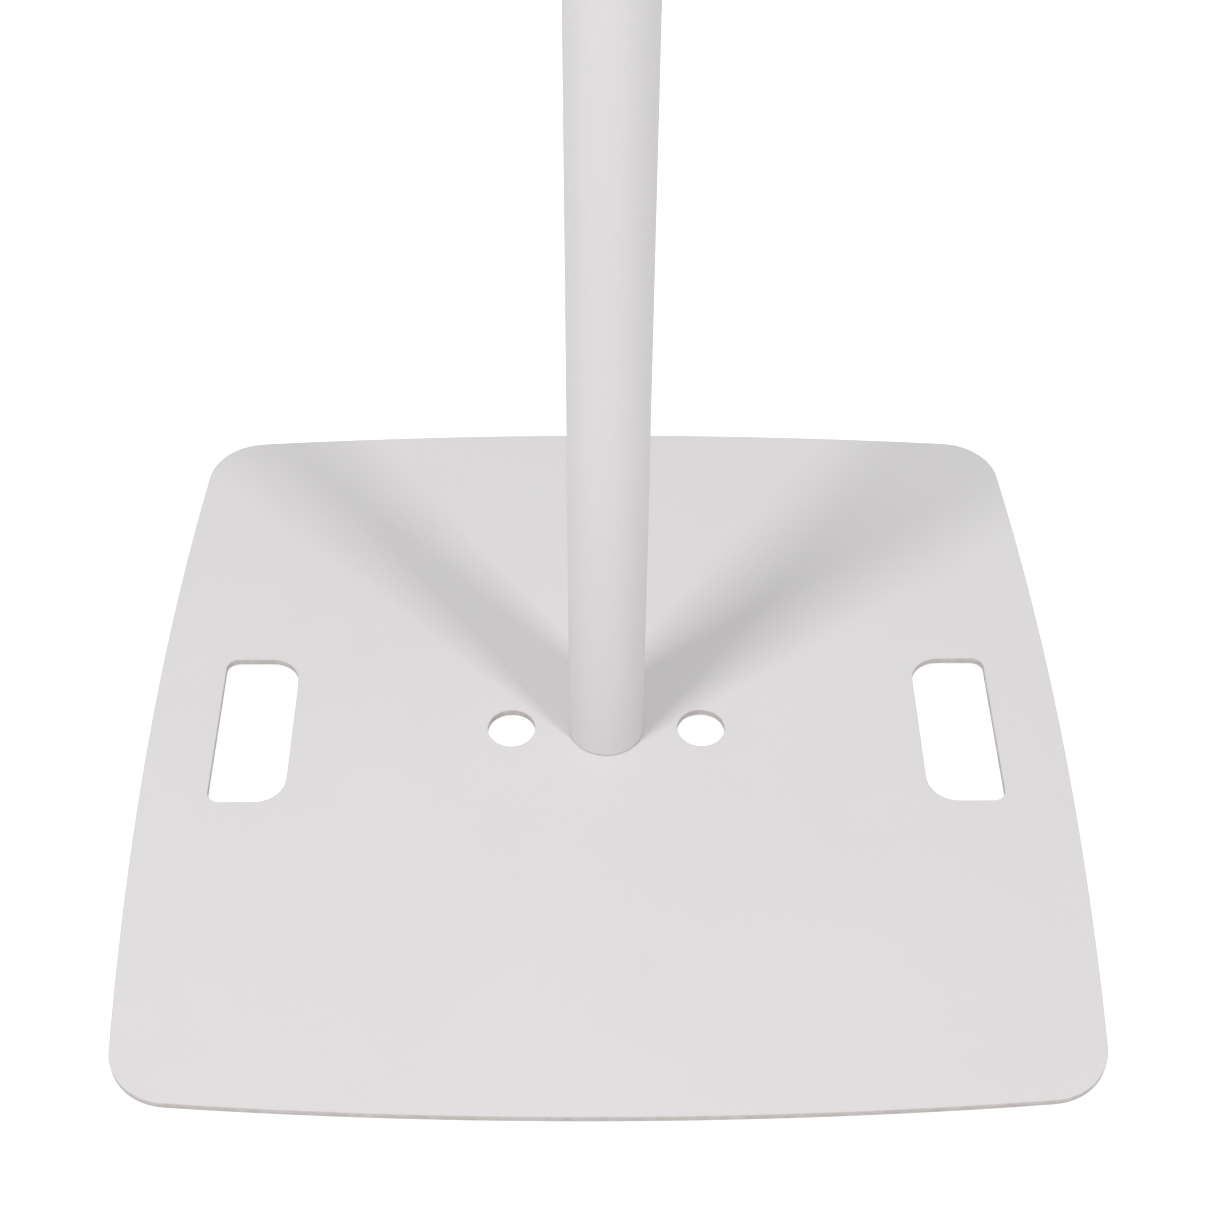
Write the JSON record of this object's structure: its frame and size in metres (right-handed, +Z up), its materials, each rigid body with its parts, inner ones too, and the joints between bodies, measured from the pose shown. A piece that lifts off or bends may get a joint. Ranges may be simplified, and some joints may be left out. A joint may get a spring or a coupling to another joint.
{
  "type": "free-standing post on floor plate",
  "caption": "Round steel post on a flat steel floor plate with bowed sides, hand slots and round cable holes; white powder coat.",
  "frame": {"origin": "on the floor, at the middle of the plate, on the post's axis", "axes": "+Z up along the post, +Y to the back, +X to the right; the hand slots are on the +X and -X sides"},
  "size_m": [0.6198, 0.5998, 1],
  "materials": {
    "white_coat": "matte fine-textured powder coat on steel",
    "bare_steel": "turned steel",
    "zinc_steel": "zinc-plated steel",
    "white_plastic": "matte moulded plastic",
    "pad_rubber": "matte rubber"
  },
  "bodies": {
    "stand": {"base_plate": "white_coat", "post_tube": "white_coat", "foot_plug": "bare_steel", "plug_weld": "bare_steel", "post_screws": "zinc_steel", "floor_pad_front_left": "pad_rubber", "floor_pad_front_middle": "pad_rubber", "floor_pad_front_right": "pad_rubber", "floor_pad_middle_left": "pad_rubber", "floor_pad_middle_right": "pad_rubber", "floor_pad_back_left": "pad_rubber", "floor_pad_back_middle": "pad_rubber", "floor_pad_back_right": "pad_rubber"},
    "cap": {"post_cap": "white_plastic"}
  },
  "joints": [
    {"name": "cap_pull", "type": "slide", "parent": "stand", "child": "cap", "axis": [0, 0, 1], "range_m": [0, 0.04]}
  ]
}
